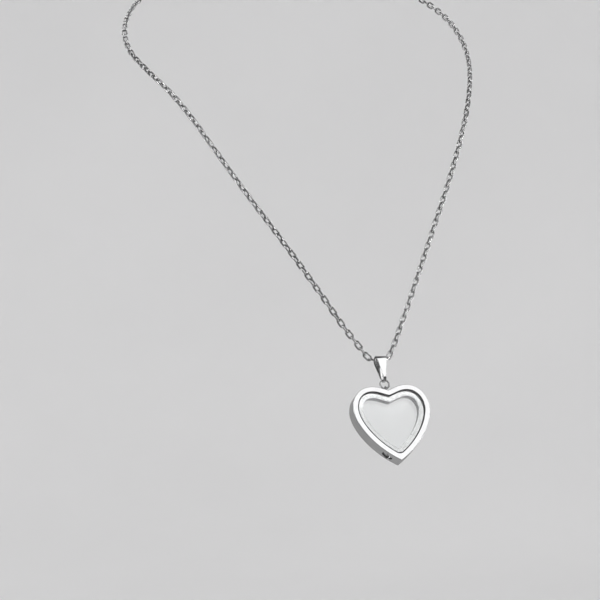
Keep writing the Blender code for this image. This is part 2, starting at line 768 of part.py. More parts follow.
def make_locket():
    """The bail on the chain, the ring in the bail, the heart in the ring, the screw in the heart."""
    bail_pivot = empty("bail_pivot", None, BAIL_PLACE, (-LEAN, 0, 0))
    make_bail(bail_pivot)
    ring_pivot = empty("ring_pivot", bail_pivot, (0, 0, RING_CENTRE))
    split_ring("jump_ring", RING_OUTER, RING_WIRE, "Y", ring_pivot, (0, 0, 0), math.pi * 0.42)
    heart_pivot = empty("heart_pivot", bail_pivot, (0, 0, RING_LOW))
    make_eye(heart_pivot)
    place, outward = port_frame()
    tilt = Vector((0, 0, 1)).rotation_difference(outward).to_euler()
    port = empty("port_axis", heart_pivot, place, tilt)
    make_heart_frame(heart_pivot, port)
    for name, side in (("front", -1), ("back", 1)):
        make_pane(name + "_pane", heart_pivot, side)
        make_seal(name + "_seal", heart_pivot, side)
    make_port_screw(port)
    make_port_washer(port)


clear_scene()
make_chain()
make_clasp()
make_locket()
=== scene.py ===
"""Looks for the heart window locket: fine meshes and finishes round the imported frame, and the studio."""

import json
import math
import random

import bmesh
import bpy
from mathutils import Matrix, Vector


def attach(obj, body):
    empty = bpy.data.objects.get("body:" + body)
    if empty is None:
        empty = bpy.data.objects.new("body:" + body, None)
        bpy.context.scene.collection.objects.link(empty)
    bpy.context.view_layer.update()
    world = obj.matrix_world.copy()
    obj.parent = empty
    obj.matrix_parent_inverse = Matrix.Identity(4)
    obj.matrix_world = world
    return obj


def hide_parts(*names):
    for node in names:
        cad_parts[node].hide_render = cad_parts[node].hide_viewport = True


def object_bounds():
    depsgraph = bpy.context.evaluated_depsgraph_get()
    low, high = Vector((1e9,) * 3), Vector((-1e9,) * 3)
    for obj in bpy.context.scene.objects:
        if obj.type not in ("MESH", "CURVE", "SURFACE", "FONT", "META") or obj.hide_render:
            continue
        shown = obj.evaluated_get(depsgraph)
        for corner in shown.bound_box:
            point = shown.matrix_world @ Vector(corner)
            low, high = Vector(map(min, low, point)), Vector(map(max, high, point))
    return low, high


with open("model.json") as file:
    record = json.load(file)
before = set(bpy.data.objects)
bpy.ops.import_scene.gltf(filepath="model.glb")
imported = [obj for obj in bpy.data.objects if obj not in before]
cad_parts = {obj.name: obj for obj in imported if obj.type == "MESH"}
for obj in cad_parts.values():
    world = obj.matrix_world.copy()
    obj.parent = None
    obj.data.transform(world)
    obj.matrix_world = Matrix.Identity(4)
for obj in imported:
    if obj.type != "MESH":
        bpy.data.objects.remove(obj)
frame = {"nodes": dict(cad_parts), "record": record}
cad_low, cad_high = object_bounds()

MM = 0.001
X, Y, Z = Vector((1, 0, 0)), Vector((0, 1, 0)), Vector((0, 0, 1))

# ---------------------------------------------------------------- places read from the frame

JOINTS = {joint["name"]: joint for joint in frame["record"]["behaviour"]["joints"]}


def joint_place(name):
    return Vector(JOINTS[name]["pos_m"])


def joint_axis(name):
    return Vector(JOINTS[name]["axis"]).normalized()


BAIL_PLACE = joint_place("bail_swing")
RING_PLACE = joint_place("locket_rock")
PORT_PLACE = joint_place("screw_turn")
PORT_OUT = joint_axis("screw_turn")
LEVER_PLACE = joint_place("clasp_lever")
FRONT = joint_axis("locket_rock")
LEAN = math.atan2(FRONT.z, -FRONT.y)
UPRIGHT = Matrix.Rotation(-LEAN, 4, "X")
LOCKET = Matrix.Translation(BAIL_PLACE) @ UPRIGHT


def local_z(point):
    """Height of a world point in the locket's own upright frame, from the chain's middle."""
    return (LOCKET.inverted() @ point).z


# ---------------------------------------------------------------- dimensions, as the CAD has them

HEART_WIDTH, HEART_HEIGHT, HEART_DEPTH = 25.0 * MM, 24.8 * MM, 4.8 * MM
NOTCH_DROP = 1.5 * MM
RIM_WIDTH, LEDGE_WIDTH = 1.60 * MM, 1.90 * MM
SEAT_DEPTH = 1.15 * MM
PANE_THICKNESS, FIT_GAP, CLEARANCE = 0.95 * MM, 0.04 * MM, 0.03 * MM
SEAL_THICKNESS = 0.10 * MM
SEAT_CORNER, WINDOW_CORNER = 2.0 * MM, 1.2 * MM
GROOVE = 0.34 * MM
PORT_RADIUS, PORT_RECESS, BORE_RADIUS = 1.75 * MM, 0.45 * MM, 1.00 * MM
SCREW_HEAD_RADIUS, SCREW_HEAD, SCREW_SHANK = 1.50 * MM, 0.50 * MM, 2.10 * MM
THREAD_PITCH, THREAD_MAJOR, THREAD_MINOR = 0.40 * MM, 0.96 * MM, 0.76 * MM
WASHER_THICKNESS = 0.22 * MM
SLOT_WIDTH, SLOT_DEPTH = 0.50 * MM, 0.25 * MM
BAIL_STRIP, BAIL_HEIGHT, BAIL_OVER_CHAIN = 0.35 * MM, 8.70 * MM, 1.30 * MM
BAIL_TOP_WIDTH, BAIL_FOOT_WIDTH = 3.00 * MM, 0.85 * MM
BAIL_TOP_DEPTH, BAIL_FOOT_DEPTH = 4.50 * MM, 3.20 * MM
BAIL_TOP_BEND, BAIL_FOOT_BEND = 1.45 * MM, 1.25 * MM
BAIL_BEVEL = 0.30 * MM
RING_WIRE, RING_OUTER = 0.55 * MM, 3.40 * MM
EYE_WIRE, EYE_OUTER = 0.50 * MM, 2.10 * MM
RING_SLIT = 0.05 * MM
LINK_LENGTH, LINK_WIDTH, LINK_WIRE, LINK_PITCH = 3.50 * MM, 2.15 * MM, 0.60 * MM, 2.25 * MM
LEAD_IN_LINKS = 10
RIGHT_TWIST, LEFT_TWIST = math.radians(-5.0), math.radians(-25.0)
CLASP_THICKNESS, CLASP_BEVEL = 2.0 * MM, 0.35 * MM
HOOK_CENTRE, HOOK_OUTER, HOOK_INNER = 2.75 * MM, 2.65 * MM, 1.55 * MM
TAIL_CENTRE, TAIL_OUTER, TAIL_HOLE = -4.10 * MM, 1.40 * MM, 0.75 * MM
CLAW_START = -0.60 * MM
PIVOT_X, PIVOT_Z = LEVER_PLACE.x, LEVER_PLACE.z
RIVET_RADIUS, LEVER_THICKNESS, SPRING_WIRE = 0.33 * MM, 0.80 * MM, 0.10 * MM
END_RING_OUTER, END_RING_WIRE = 5.0 * MM, 0.60 * MM
CLASP_RING_OUTER, CLASP_RING_WIRE = 3.8 * MM, 0.50 * MM

RING_RADIUS = (RING_OUTER - RING_WIRE) / 2
RING_CENTRE = local_z(RING_PLACE)
RING_LOW = RING_CENTRE - RING_RADIUS
EYE_RADIUS = (EYE_OUTER - EYE_WIRE) / 2
EYE_CENTRE = RING_LOW + (RING_WIRE + EYE_WIRE) / 2 + CLEARANCE - EYE_RADIUS
HEART_TOP = EYE_CENTRE - EYE_OUTER / 2 - 0.14 * MM + NOTCH_DROP

# ---------------------------------------------------------------- camera

CAMERA_AZIMUTH = math.radians(17.0)
CAMERA_ROLL = math.radians(3.26)
CAMERA_DISTANCE = 0.800
CAMERA_LENS = 153.6
VIEW_LEFT_OF_BAIL = 25.30 * MM
VIEW_ABOVE_BAIL = 17.85 * MM
BAIL_TOP_OFFSET = Vector((0, -1.0, 1.3)) * MM


def make_camera():
    look = Vector((math.sin(CAMERA_AZIMUTH), math.cos(CAMERA_AZIMUTH), 0))
    side = look.cross(Z)
    right = math.cos(CAMERA_ROLL) * side - math.sin(CAMERA_ROLL) * Z
    up = math.cos(CAMERA_ROLL) * Z + math.sin(CAMERA_ROLL) * side
    place = BAIL_PLACE + BAIL_TOP_OFFSET - look * CAMERA_DISTANCE
    place += up * VIEW_ABOVE_BAIL - right * VIEW_LEFT_OF_BAIL
    data = bpy.data.cameras.new("camera")
    data.lens = CAMERA_LENS
    data.clip_start, data.clip_end = 0.02, 20.0
    camera = bpy.data.objects.new("camera", data)
    bpy.context.scene.collection.objects.link(camera)
    turn = Matrix((right, up, -look)).transposed().to_4x4()
    camera.matrix_world = Matrix.Translation(place) @ turn
    bpy.context.scene.camera = camera
    bpy.context.scene.view_settings.view_transform = "Standard"


# ---------------------------------------------------------------- materials


class Finish:
    """A Principled material with a small chain of texture nodes in object space."""

    def __init__(self, name, metallic, roughness, colour):
        self.made = bpy.data.materials.new(name)
        self.made.use_nodes = True
        self.tree = self.made.node_tree
        self.shader = self.tree.nodes["Principled BSDF"]
        self.shader.inputs["Metallic"].default_value = metallic
        self.shader.inputs["Roughness"].default_value = roughness
        self.shader.inputs["Base Color"].default_value = (*colour, 1)
        self.place = self.tree.nodes.new("ShaderNodeTexCoord").outputs["Object"]

    def link(self, source, target):
        self.tree.links.new(source, target)

    def noise(self, scale, detail=3.0, stretch=(1, 1, 1), roughness=0.55):
        mapping = self.tree.nodes.new("ShaderNodeMapping")
        mapping.inputs["Scale"].default_value = stretch
        self.link(self.place, mapping.inputs["Vector"])
        node = self.tree.nodes.new("ShaderNodeTexNoise")
        node.inputs["Scale"].default_value = scale
        node.inputs["Detail"].default_value = detail
        node.inputs["Roughness"].default_value = roughness
        self.link(mapping.outputs["Vector"], node.inputs["Vector"])
        return node.outputs["Fac"]

    def ramp(self, source, low, high, at=(0.3, 0.7)):
        """The source mapped from at to the two values, clamped."""
        node = self.tree.nodes.new("ShaderNodeMapRange")
        node.inputs["From Min"].default_value, node.inputs["From Max"].default_value = at
        node.inputs["To Min"].default_value = low
        node.inputs["To Max"].default_value = high
        self.link(source, node.inputs["Value"])
        return node.outputs["Result"]

    def math(self, kind, one, two):
        node = self.tree.nodes.new("ShaderNodeMath")
        node.operation = kind
        for socket, value in zip(node.inputs, (one, two)):
            if isinstance(value, (int, float)):
                socket.default_value = value
            else:
                self.link(value, socket)
        return node.outputs["Value"]

    def tint(self, factor, one, two):
        node = self.tree.nodes.new("ShaderNodeMix")
        node.data_type = "RGBA"
        node.inputs["A"].default_value = (*one, 1)
        node.inputs["B"].default_value = (*two, 1)
        self.link(factor, node.inputs["Factor"])
        self.link(node.outputs["Result"], self.shader.inputs["Base Color"])

    def bump(self, height, distance, strength):
        node = self.tree.nodes.new("ShaderNodeBump")
        node.inputs["Distance"].default_value = distance
        node.inputs["Strength"].default_value = strength
        self.link(height, node.inputs["Height"])
        self.link(node.outputs["Normal"], self.shader.inputs["Normal"])

    def attribute(self, name):
        node = self.tree.nodes.new("ShaderNodeAttribute")
        node.attribute_name = name
        return node.outputs["Fac"]


def polished_steel(name, bright, dull, rough, scratch=0.10, hand=(1, 1, 8)):
    """Mirror-polished steel: soft smudges in colour and gloss, and fine polishing lines along one way."""
    finish = Finish(name, 1.0, rough[0], bright)
    smudge = finish.noise(420.0, 4.0)
    lines = finish.noise(5200.0, 2.0, hand)
    finish.tint(finish.ramp(smudge, 0.0, 1.0), bright, dull)
    worn = finish.math("ADD", finish.ramp(smudge, rough[0], rough[1]), finish.ramp(lines, 0.0, 0.03))
    finish.link(worn, finish.shader.inputs["Roughness"])
    finish.bump(lines, 0.000004, scratch)
    return finish.made


def satin_steel(name, bright, dull, rough):
    """Machined steel that was left unpolished: tool lines round the cut, mottled gloss."""
    finish = Finish(name, 1.0, rough[0], bright)
    mottle = finish.noise(900.0, 3.0)
    tool = finish.noise(2600.0, 2.0, (1, 9, 1))
    finish.tint(finish.ramp(mottle, 0.0, 1.0), bright, dull)
    finish.link(finish.ramp(tool, rough[0], rough[1]), finish.shader.inputs["Roughness"])
    finish.bump(tool, 0.000006, 0.25)
    return finish.made


def link_steel(name):
    """Chain wire by its tone_and_shade attribute: bright and glossy outside; painted shade makes it dark
    inside each link and where the links touch, and the gloss is duller there.
    """
    finish = Finish(name, 1.0, 0.12, (0.66, 0.66, 0.67))
    grain = finish.noise(2400.0, 3.0)
    tone_and_shade = finish.math("MULTIPLY", finish.attribute("tone_and_shade"), finish.ramp(grain, 0.85, 1.0))
    # The dark end of this tint is painted shade inside each link and where the links touch.
    finish.tint(tone_and_shade, (0.16, 0.16, 0.165), (0.84, 0.84, 0.845))
    rub_and_shade = finish.ramp(finish.attribute("tone_and_shade"), 0.26, 0.05, (0.0, 1.0))
    rough = finish.math("ADD", rub_and_shade, finish.ramp(grain, 0.0, 0.04))
    finish.link(rough, finish.shader.inputs["Roughness"])
    finish.bump(grain, 0.00001, 0.12)
    return finish.made


def window_glass(name):
    """Clear float glass with a faint film of handling marks on its gloss."""
    finish = Finish(name, 0.0, 0.0, (0.985, 0.99, 0.99))
    finish.shader.inputs["Transmission Weight"].default_value = 1.0
    finish.shader.inputs["IOR"].default_value = 1.46
    film = finish.noise(260.0, 4.0)
    finish.link(finish.ramp(film, 0.0, 0.03, (0.5, 0.8)), finish.shader.inputs["Roughness"])
    finish.tint(finish.ramp(film, 0.0, 1.0), (0.99, 0.995, 0.995), (0.97, 0.98, 0.98))
    return finish.made


def shaded_pane_edge(name):
    """The ground edge of a pane, dull, and painted near-black as the shade of the seam round the pane."""
    finish = Finish(name, 0.0, 0.45, (0.05, 0.05, 0.055))
    grit = finish.noise(3800.0, 3.0)
    finish.tint(finish.ramp(grit, 0.0, 1.0), (0.035, 0.035, 0.038), (0.075, 0.075, 0.08))
    finish.link(finish.ramp(grit, 0.35, 0.6), finish.shader.inputs["Roughness"])
    finish.bump(grit, 0.000006, 0.3)
    return finish.made


def clear_adhesive(name):
    finish = Finish(name, 0.0, 0.05, (0.97, 0.97, 0.965))
    finish.shader.inputs["Transmission Weight"].default_value = 1.0
    finish.shader.inputs["IOR"].default_value = 1.35
    blobs = finish.noise(700.0, 2.0)
    finish.link(finish.ramp(blobs, 0.02, 0.12), finish.shader.inputs["Roughness"])
    finish.tint(finish.ramp(blobs, 0.0, 1.0), (0.98, 0.98, 0.975), (0.95, 0.95, 0.945))
    return finish.made


def black_rubber(name):
    finish = Finish(name, 0.0, 0.6, (0.03, 0.03, 0.03))
    pores = finish.noise(5200.0, 4.0)
    finish.link(finish.ramp(pores, 0.45, 0.75), finish.shader.inputs["Roughness"])
    finish.tint(finish.ramp(pores, 0.0, 1.0), (0.022, 0.022, 0.023), (0.05, 0.05, 0.05))
    finish.bump(pores, 0.00001, 0.5)
    return finish.made


# ---------------------------------------------------------------- mesh helpers


def piece(name, mesh, looks, body, sharp=35, place=None):
    """A finished object from a bmesh: faces out, smooth, with its materials, riding on a CAD body."""
    bmesh.ops.recalc_face_normals(mesh, faces=mesh.faces)
    data = bpy.data.meshes.new(name)
    mesh.to_mesh(data)
    mesh.free()
    data.shade_smooth()
    data.set_sharp_from_angle(angle=math.radians(sharp))
    for look in looks:
        data.materials.append(look)
    made = bpy.data.objects.new(name, data)
    bpy.context.scene.collection.objects.link(made)
    if place is not None:
        made.matrix_world = place
    if body:
        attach(made, body)
    return made


def lofted(loops, closed, slot_of=None):
    """Faces between loops of equal count. slot_of gives the material slot of each band."""
    mesh = bmesh.new()
    rows = [[mesh.verts.new(point) for point in loop] for loop in loops]
    pairs = list(zip(rows, rows[1:]))
    if closed:
        pairs.append((rows[-1], rows[0]))
    else:
        mesh.faces.new(rows[0])
        mesh.faces.new(rows[-1])
    for band, (one, two) in enumerate(pairs):
        for i in range(len(one)):
            j = (i + 1) % len(one)
            face = mesh.faces.new((one[i], one[j], two[j], two[i]))
            face.material_index = slot_of[band] if slot_of else 0
    return mesh


def swept_wire(path, radius, sides, normal, closed=True):
    """A round wire along a flat path. normal is the path plane's normal."""
    count = len(path)
    rows = []
    for i, point in enumerate(path):
        after = path[(i + 1) % count] if closed else path[min(i + 1, count - 1)]
        before = path[i - 1] if closed else path[max(i - 1, 0)]
        side = (after - before).cross(normal).normalized()
        turns = (math.tau * k / sides for k in range(sides))
        rows.append([point + radius * (math.cos(a) * side + math.sin(a) * normal) for a in turns])
    return lofted(rows, closed)


def circle(radius, count, axis="Y", start=0.0, sweep=math.tau):
    last = count if math.isclose(sweep, math.tau) else count - 1
    turns = [start + sweep * k / last for k in range(count)]
    if axis == "X":
        return [Vector((0, radius * math.sin(a), radius * math.cos(a))) for a in turns]
    if axis == "Y":
        return [Vector((radius * math.sin(a), 0, radius * math.cos(a))) for a in turns]
    return [Vector((radius * math.cos(a), radius * math.sin(a), 0)) for a in turns]


def rounded_polygon(corners, arc_points):
    """Flat outline points from (x, z, radius) corners, each turned by an arc."""
    outline = []
    for i, (x, z, radius) in enumerate(corners):
        corner = Vector((x, z))
        to_last = (Vector(corners[i - 1][:2]) - corner).normalized()
        to_next = (Vector(corners[(i + 1) % len(corners)][:2]) - corner).normalized()
        half = to_last.angle(to_next) / 2
        centre = corner + (to_last + to_next).normalized() * radius / math.sin(half)
        first = corner + to_last * radius / math.tan(half) - centre
        last = corner + to_next * radius / math.tan(half) - centre
        swing = first.angle_signed(last)
        for k in range(arc_points + 1):
            turned = first.copy()
            turned.rotate(Matrix.Rotation(-swing * k / arc_points, 2))
            outline.append(centre + turned)
    return outline


def extruded(outline, thickness):
    """A plate in the XZ plane, its thickness along Y, centred on it."""
    return lofted([[Vector((p.x, s * thickness / 2, p.y)) for p in outline] for s in (-1, 1)], False)


def turned(profile, sides=64):
    """A solid turned about local Z from (radius, z) points, capped at both ends."""
    loops = [[Vector((p.x, p.y, z)) for p in circle(r, sides, "Z")] for r, z in profile]
    return lofted(loops, False)


def resampled(points, count):
    steps = [0.0]
    for one, two in zip(points, points[1:]):
        steps.append(steps[-1] + (two - one).length)
    picked, k = [], 0
    for i in range(count + 1):
        at = steps[-1] * i / count
        while k < len(steps) - 2 and steps[k + 1] < at:
            k += 1
        share = (at - steps[k]) / max(steps[k + 1] - steps[k], 1e-12)
        picked.append(points[k].lerp(points[k + 1], min(max(share, 0.0), 1.0)))
    return picked


def cut(body, *tools):
    """Takes the tools from the body for good, bevels included, and removes the tools."""
    for tool in tools:
        step = body.modifiers.new("cut", "BOOLEAN")
        step.operation, step.solver, step.object = "DIFFERENCE", "EXACT", tool
    graph = bpy.context.evaluated_depsgraph_get()
    body.data = bpy.data.meshes.new_from_object(body.evaluated_get(graph))
    body.modifiers.clear()
    for tool in tools:
        bpy.data.objects.remove(tool, do_unlink=True)
    body.data.shade_smooth()
    body.data.set_sharp_from_angle(angle=math.radians(35))


def tool(mesh, place):
    return piece("tool", mesh, (), None, place=place)


# ---------------------------------------------------------------- heart outline

HALF_SEGMENTS = 150
FINE_SEGMENTS = 240


def bezier(start, handle_a, handle_b, end, count):
    return [
        (1 - t) ** 3 * start + 3 * (1 - t) ** 2 * t * handle_a
        + 3 * (1 - t) * t * t * handle_b + t ** 3 * end
        for t in (k / count for k in range(count + 1))
    ]


def heart_half():
    """The right half of the outer outline, from the notch over the lobe to the tip, lobe top at 0."""
    w, h = HEART_WIDTH / 2, HEART_HEIGHT
    notch, lobe = Vector((0, -NOTCH_DROP)), Vector((0.445 * w, 0))
    flank, tip = Vector((w, -0.305 * h)), Vector((0, -h))
    runs = (
        (notch, notch + Vector((0.15 * w, 0.026 * h)), lobe - Vector((0.17 * w, 0)), lobe),
        (lobe, lobe + Vector((0.33 * w, 0)), flank + Vector((0, 0.170 * h)), flank),
        (flank, flank - Vector((0, 0.195 * h)), tip + Vector((0.62 * w, 0.19 * h)), tip),
    )
    points = [notch]
    for run in runs:
        points += bezier(*run, FINE_SEGMENTS // len(runs))[1:]
    return points


def inset_half(half, distance, corner):
    """The half outline moved inwards, both ends on the centre line, its tip rounded by corner."""
    reach = distance + corner
    moved, inward = [], []
    for i, point in enumerate(half):
        along = (half[min(i + 1, len(half) - 1)] - half[max(i - 1, 0)]).normalized()
        inward.append(Vector((along.y, -along.x)))
        moved.append(point + inward[i] * reach)
    while moved[-2].x < 0 or moved[-1].x < 0 and moved[-2].x <= 0:
        moved.pop()
        inward.pop()
    share = moved[-2].x / (moved[-2].x - moved[-1].x)
    moved[-1] = moved[-2].lerp(moved[-1], share)
    points = [p - n * corner for p, n in zip(moved, inward)]
    turn = math.atan2(inward[-1].x, inward[-1].y)
    for k in range(1, 9):
        a = turn * (1 - k / 8)
        points.append(moved[-1] - corner * Vector((math.sin(a), math.cos(a))))
    first, second = points[0], points[1]
    slope = (second.y - first.y) / (second.x - first.x)
    return [Vector((0, first.y - slope * first.x))] + points


def heart_loop(distance, corner, y):
    """The whole closed outline at an inset, in the locket's upright frame."""
    half = heart_half()
    if distance > 0:
        half = inset_half(half, distance, corner)
    half = resampled(half, HALF_SEGMENTS)
    whole = half + [Vector((-p.x, p.y)) for p in reversed(half[1:-1])]
    return [Vector((p.x, y, p.y + HEART_TOP)) for p in whole]


def fillet(inset, y, radius, toward, steps=4):
    """Points round an edge: from (inset, y - radius) to (inset + radius, y), or back for toward -1."""
    arc = []
    for k in range(steps + 1):
        a = math.pi / 2 * k / steps
        arc.append((inset + radius * (1 - math.cos(a)), y + radius * (1 - math.sin(a))))
    return arc if toward > 0 else [(2 * inset - i, d) for i, d in reversed(arc)]


def heart_profile():
    """(inset, corner, y, slot) from the middle of the outer wall over the front to the inner wall."""
    front = -HEART_DEPTH / 2
    edge, lip = 0.16 * MM, 0.05 * MM
    seat, window = RIM_WIDTH, RIM_WIDTH + LEDGE_WIDTH
    steps = [(i, 0, y, 0) for i, y in fillet(0, front, edge, 1)]
    steps += [(i, SEAT_CORNER, y, 0) for i, y in fillet(seat, front, lip, -1)]
    # Slot 2, the seat step and groove round the pane, takes steel painted dark as the seam's shade.
    steps += [(seat, SEAT_CORNER, front + SEAT_DEPTH, 2), (seat + GROOVE, SEAT_CORNER, front + SEAT_DEPTH, 2)]
    steps += [(i, WINDOW_CORNER, y, 1) for i, y in fillet(window, front + SEAT_DEPTH, lip, -1)]
    return steps


def make_heart_frame(looks):
    front = heart_profile()
    steps = front + [(i, c, -y, s) for i, c, y, s in reversed(front)]
    loops = [heart_loop(i, c, y) for i, c, y, s in steps]
    # Band 3 is the window's inner wall, whose steel is painted near-black as the shade inside the cavity.
    bands = [step[3] for step in front[1:]] + [3] + [step[3] for step in reversed(front[1:])] + [0]
    mesh = lofted(loops, True, slot_of=bands)
    body = piece("heart_frame_fine", mesh, looks, "locket", place=LOCKET)
    floor = -(PORT_RECESS + SCREW_HEAD + WASHER_THICKNESS + 2 * CLEARANCE)
    past = RIM_WIDTH + LEDGE_WIDTH + 1.0 * MM
    profile = [(BORE_RADIUS, -past), (BORE_RADIUS, floor), (PORT_RADIUS, floor), (PORT_RADIUS, 1 * MM)]
    cut(body, tool(turned(profile), port_matrix()))
    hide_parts("heart_frame")
    return body


def make_pane(name, node, side, looks):
    """A pane with rounded, ground edges. side is -1 at the front, 1 at the back."""
    outer = side * (HEART_DEPTH / 2 - CLEARANCE)
    inner = outer - side * PANE_THICKNESS
    edge, bevel = RIM_WIDTH + FIT_GAP, 0.25 * MM
    rings = []
    for k in range(5):
        a = math.pi / 2 * k / 4
        rings.append((edge + bevel * (1 - math.sin(a)), outer - side * bevel * (1 - math.cos(a))))
    rings += [(edge, inner + side * 0.05 * MM), (edge + 0.05 * MM, inner)]
    loops = [heart_loop(i, SEAT_CORNER, y) for i, y in rings]
    # The edge bands take the near-black edge finish, painted shade for the seam round the pane.
    mesh = lofted(loops, False, slot_of=[1] * (len(loops) - 1))
    made = piece(name, mesh, looks, "locket", place=LOCKET)
    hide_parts(node)


def make_seal(name, node, side, look):
    floor = side * (HEART_DEPTH / 2 - SEAT_DEPTH + CLEARANCE)
    top = floor + side * SEAL_THICKNESS
    outside = (RIM_WIDTH + GROOVE, SEAT_CORNER)
    inside = (RIM_WIDTH + LEDGE_WIDTH - 6 * FIT_GAP, WINDOW_CORNER)
    steps = [(outside, floor), (outside, top), (inside, top), (inside, floor)]
    loops = [heart_loop(d, c, y) for (d, c), y in steps]
    made = piece(name, lofted(loops, True), (look,), "locket", place=LOCKET)
    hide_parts(node)


# ---------------------------------------------------------------- port screw


def port_matrix():
    return Matrix.Translation(PORT_PLACE) @ Z.rotation_difference(PORT_OUT).to_matrix().to_4x4()


def make_port_screw(look):
    """Slotted head and a cut thread, turned about local Z."""
    top, edge = -PORT_RECESS, 0.08 * MM
    under = top - SCREW_HEAD
    sides, rows_per_turn = 48, 12
    rows = round(SCREW_SHANK / THREAD_PITCH * rows_per_turn)
    head = (
        (SCREW_HEAD_RADIUS * 0.5, top + 0.03 * MM), (SCREW_HEAD_RADIUS - edge, top),
        (SCREW_HEAD_RADIUS - 0.3 * edge, top - 0.3 * edge), (SCREW_HEAD_RADIUS, top - edge),
        (SCREW_HEAD_RADIUS, under),
    )
    loops = [[Vector((p.x, p.y, z)) for p in circle(r, sides, "Z")] for r, z in head]
    for row in range(rows + 1):
        z = under - SCREW_SHANK * row / rows
        loop = []
        for k in range(sides):
            phase = (row / rows_per_turn + k / sides) % 1.0
            depth = abs(2 * phase - 1) if 0 < row < rows else 1.0
            radius = THREAD_MAJOR - (THREAD_MAJOR - THREAD_MINOR) * depth
            a = math.tau * k / sides
            loop.append(Vector((radius * math.cos(a), radius * math.sin(a), z)))
        loops.append(loop)
    screw = piece("port_screw_fine", lofted(loops, False), (look,), "port_screw",
                  place=port_matrix())
    slot = bmesh.new()
    bmesh.ops.create_cube(slot, size=2)
    bmesh.ops.scale(slot, vec=(2 * SCREW_HEAD_RADIUS, SLOT_WIDTH / 2, SLOT_DEPTH), verts=slot.verts)
    cut(screw, tool(slot, port_matrix() @ Matrix.Translation((0, 0, top))))
    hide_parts("port_screw")


def make_port_washer(look):
    bottom = -(PORT_RECESS + SCREW_HEAD + CLEARANCE + WASHER_THICKNESS)
    inner, outer = THREAD_MAJOR + 0.06 * MM, SCREW_HEAD_RADIUS
    middle, half = (inner + outer) / 2, (outer - inner) / 2
    loops = []
    for k in range(12):
        a = math.tau * k / 12
        r = middle + half * max(-1, min(1, 1.3 * math.cos(a)))
        z = bottom + WASHER_THICKNESS / 2 * (1 + max(-1, min(1, 1.3 * math.sin(a))))
        loops.append([Vector((p.x, p.y, z)) for p in circle(r, 64, "Z")])
    made = piece("port_washer_fine", lofted(loops, True), (look,), "port_washer",
                 place=port_matrix())
    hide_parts("port_washer")


# ---------------------------------------------------------------- bail, ring and eye


def make_bail(look):
    """The bent strip with rounded edges and a faintly crowned outer face."""
    top = BAIL_OVER_CHAIN + BAIL_STRIP / 2
    foot = BAIL_OVER_CHAIN + 1.5 * BAIL_STRIP - BAIL_HEIGHT
    wide, narrow = (BAIL_TOP_DEPTH - BAIL_STRIP) / 2, (BAIL_FOOT_DEPTH - BAIL_STRIP) / 2
    corners = [
        (-wide, top, BAIL_TOP_BEND), (wide, top, BAIL_TOP_BEND),
        (narrow, foot, BAIL_FOOT_BEND), (-narrow, foot, BAIL_FOOT_BEND),
    ]
    rough_path = rounded_polygon(corners, 16)
    path = resampled(rough_path + rough_path[:1], 120)[:-1]
    taper_start, taper_end = top - BAIL_TOP_BEND, foot + BAIL_FOOT_BEND
    stations = []
    for i, point in enumerate(path):
        along = (path[(i + 1) % len(path)] - path[i - 1]).normalized()
        across = Vector((along.y, -along.x))
        share = min(max((taper_start - point.y) / (taper_start - taper_end), 0), 1)
        half = (BAIL_TOP_WIDTH + (BAIL_FOOT_WIDTH - BAIL_TOP_WIDTH) * share) / 2
        section = strip_section(half, BAIL_STRIP / 2)
        stations.append([Vector((x, (point + across * t).x, (point + across * t).y)) for x, t in section])
    made = piece("bail_fine", lofted(stations, True), (look,), "bail", place=LOCKET)
    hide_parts("bail")


def strip_section(half, thick):
    """(x, t) round a strip's section: a flat inside, an outside with a bevel along each edge."""
    bevel, soft = min(BAIL_BEVEL, 0.7 * half), 0.04 * MM
    corners = [
        (-half, -thick, soft), (half, -thick, soft), (half, thick - 0.55 * bevel, soft),
        (half - bevel, thick, soft), (-half + bevel, thick, soft), (-half, thick - 0.55 * bevel, soft),
    ]
    return [(p.x, p.y) for p in rounded_polygon(corners, 3)]


def split_ring(name, node, outer, wire, axis, centre, opening, look, body, place):
    """A jump ring with its slit, the cut ends slightly rounded."""
    radius = (outer - wire) / 2
    slit = RING_SLIT / radius
    turns, ends = 96, 3
    path = circle(radius, turns, axis, opening + slit / 2, math.tau - slit)
    normal = {"X": X, "Y": Y, "Z": Z}[axis]
    rows = []
    sides = 20
    for i, point in enumerate(path):
        side = (path[min(i + 1, turns - 1)] - path[max(i - 1, 0)]).cross(normal).normalized()
        edge = min(i, turns - 1 - i)
        r = wire / 2 * (1.0 if edge >= ends else 0.88 + 0.04 * edge)
        around = (math.tau * k / sides for k in range(sides))
        rows.append([centre + point + r * (math.cos(a) * side + math.sin(a) * normal) for a in around])
    made = piece(name, lofted(rows, False), (look,), body, place=place)
    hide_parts(node)
    return made


def make_eye(look):
    """The eye, with the weld that joins it to the notch swelling round its foot."""
    count, sides = 72, 20
    path = circle(EYE_RADIUS, count, "X")
    rows = []
    for i, point in enumerate(path):
        side = (path[(i + 1) % count] - path[i - 1]).cross(X).normalized()
        foot = max(0.0, -point.z / EYE_RADIUS) ** 6
        r = EYE_WIRE / 2 * (1 + 0.16 * foot)
        turns = (math.tau * k / sides for k in range(sides))
        rows.append([
            point + Vector((0, 0, EYE_CENTRE))
            + r * (math.cos(a) * side + math.sin(a) * X * (1 + 0.5 * foot))
            for a in turns
        ])
    made = piece("frame_eye_fine", lofted(rows, True), (look,), "locket", place=LOCKET)
    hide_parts("frame_eye")


# ---------------------------------------------------------------- chain

